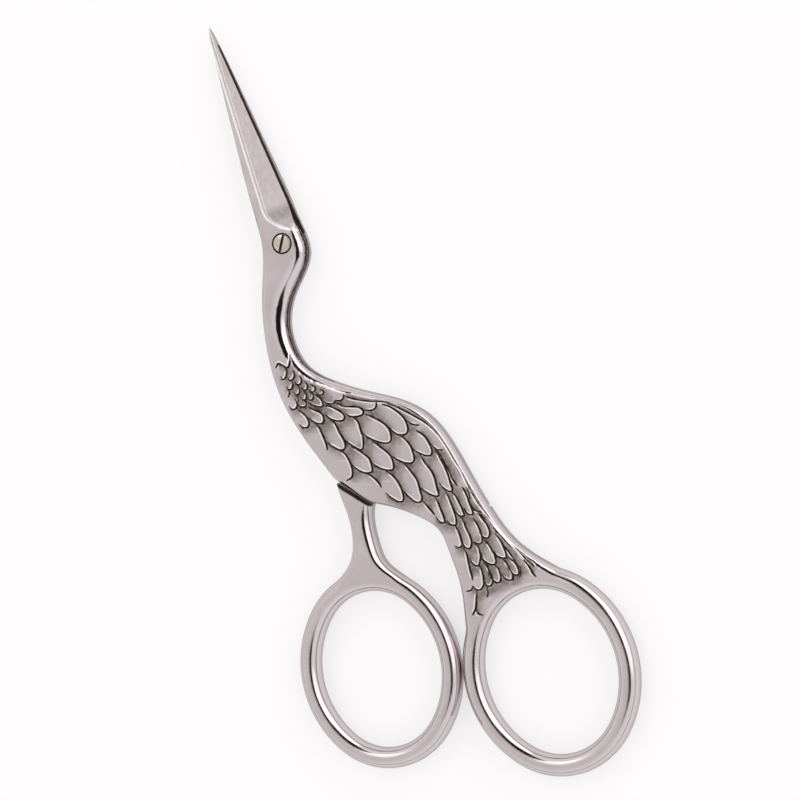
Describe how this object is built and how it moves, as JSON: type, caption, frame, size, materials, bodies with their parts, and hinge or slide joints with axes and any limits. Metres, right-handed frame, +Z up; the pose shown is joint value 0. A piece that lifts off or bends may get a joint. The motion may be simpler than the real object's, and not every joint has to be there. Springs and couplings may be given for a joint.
{
  "type": "stork embroidery scissors",
  "caption": "Small embroidery scissors shaped like a standing stork: long ground blades as the beak, feathered body, two oval finger rings and a slotted pivot screw.",
  "frame": {"origin": "middle of the bounding box, on the table under the back of the rear half", "axes": "+Y along the scissors, from the finger rings to the blade points, +X to the right seen from the front, where the larger ring is, +Z up out of the front faces, along the pivot, where the screw head shows"},
  "size_m": [0.066, 0.1074, 0.0042],
  "materials": {
    "front_steel": "nickelled forged steel, satin faces and polished edges, dark in the feather grooves",
    "rear_steel": "nickelled forged steel, satin faces and polished edges, dark in the feather grooves",
    "screw_steel": "turned steel with a warm nickel tone, polished dome, slotted"
  },
  "bodies": {
    "rear": {"rear_half": "rear_steel", "pivot_screw": "screw_steel"},
    "front": {"front_half": "front_steel"}
  },
  "joints": [
    {"name": "pivot", "type": "hinge", "parent": "rear", "child": "front", "pos_m": [-0.02081, 0.02224, 0.002], "axis": [0, 0, 1], "range_deg": [0, 50]}
  ]
}
